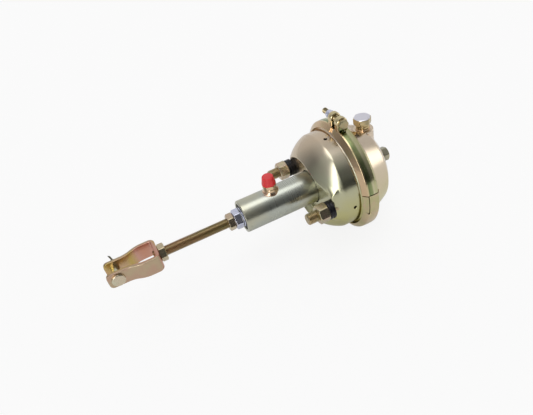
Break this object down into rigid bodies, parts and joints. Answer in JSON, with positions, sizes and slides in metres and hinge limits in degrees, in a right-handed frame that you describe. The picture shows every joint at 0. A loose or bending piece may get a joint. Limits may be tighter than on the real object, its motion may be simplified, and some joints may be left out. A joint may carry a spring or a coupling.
{
  "type": "brake actuator",
  "caption": "Air chamber with a hydraulic barrel, push rod and fork clevis that pushes a brake lever by air or by oil.",
  "frame": {"origin": "midway between the two mounting studs, in the plane of the mounting face", "axes": "+X along the actuator's axis towards the air chamber, so the clevis points to -X; Y along the line of the two studs; +Z towards the ports"},
  "size_m": [0.4314, 0.1662, 0.1817],
  "materials": {
    "yellow_zinc_housing": "yellow chromated zinc on pressed steel, satin",
    "green_zinc_band": "greenish chromated zinc strip, glossy",
    "yellow_zinc_hardware": "yellow chromated zinc fastener",
    "olive_zinc_thread": "olive chromated zinc thread",
    "white_zinc": "bright bluish zinc",
    "bright_zinc_plug": "bright zinc plug",
    "black_steel": "black oxide spring steel",
    "satin_barrel_steel": "turned steel tube with pale chromate",
    "copper_braze": "copper coloured brazing metal",
    "black_rubber": "black rubber",
    "bronze": "sintered bronze",
    "red_plastic": "red glossy plastic"
  },
  "bodies": {
    "housing": {"front_housing": "yellow_zinc_housing", "pressure_housing": "yellow_zinc_housing", "clamp_segment_near": "green_zinc_band", "clamp_segment_far": "green_zinc_band", "clamp_segment_lower": "yellow_zinc_housing", "clamp_bolt": "yellow_zinc_hardware", "clamp_nut": "white_zinc", "mounting_stud_near": "olive_zinc_thread", "mounting_stud_far": "olive_zinc_thread", "stud_nut_near": "yellow_zinc_hardware", "stud_nut_far": "yellow_zinc_hardware", "spring_washers_near": "black_steel", "spring_washers_far": "black_steel", "hydraulic_barrel": "satin_barrel_steel", "port_boss": "yellow_zinc_hardware", "port_braze": "copper_braze", "wiper_ring": "black_rubber", "guide_bush": "bronze", "rod_seal": "black_rubber", "gland_seal": "black_rubber", "gland_bush": "bronze", "gland_circlip": "black_steel", "top_port_plug": "bright_zinc_plug", "top_plug_washer": "copper_braze", "rear_port_boss": "yellow_zinc_housing", "rear_port_plug": "bright_zinc_plug", "rear_plug_washer": "copper_braze", "diaphragm": "black_rubber", "return_spring": "black_steel"},
    "push_plate": {"push_plate": "yellow_zinc_hardware"},
    "rod": {"plunger": "white_zinc", "threaded_rod": "olive_zinc_thread", "plunger_lock_nut": "yellow_zinc_hardware", "clevis_lock_nut": "yellow_zinc_hardware", "clevis": "yellow_zinc_housing"},
    "clevis_pin": {"clevis_pin": "yellow_zinc_hardware", "pin_washer": "yellow_zinc_hardware", "cotter_pin": "white_zinc"},
    "port_cap": {"port_cap": "red_plastic"}
  },
  "joints": [
    {"name": "rod_stroke", "type": "slide", "parent": "housing", "child": "rod", "axis": [-1, 0, 0], "range_m": [0, 0.05]},
    {"name": "plate_stroke", "type": "slide", "parent": "housing", "child": "push_plate", "axis": [-1, 0, 0], "range_m": [0, 0.05], "deforming": ["return_spring", "diaphragm"]},
    {"name": "clevis_pin_turn", "type": "hinge", "parent": "rod", "child": "clevis_pin", "pos_m": [-0.2895, 0, 0], "axis": [0, 1, 0], "continuous": true},
    {"name": "cap_pull", "type": "slide", "parent": "housing", "child": "port_cap", "axis": [0, 0, 1], "range_m": [0, 0.02]}
  ],
  "couplings": [
    {"joint": "plate_stroke", "follows": "rod_stroke", "ratio": 1}
  ]
}
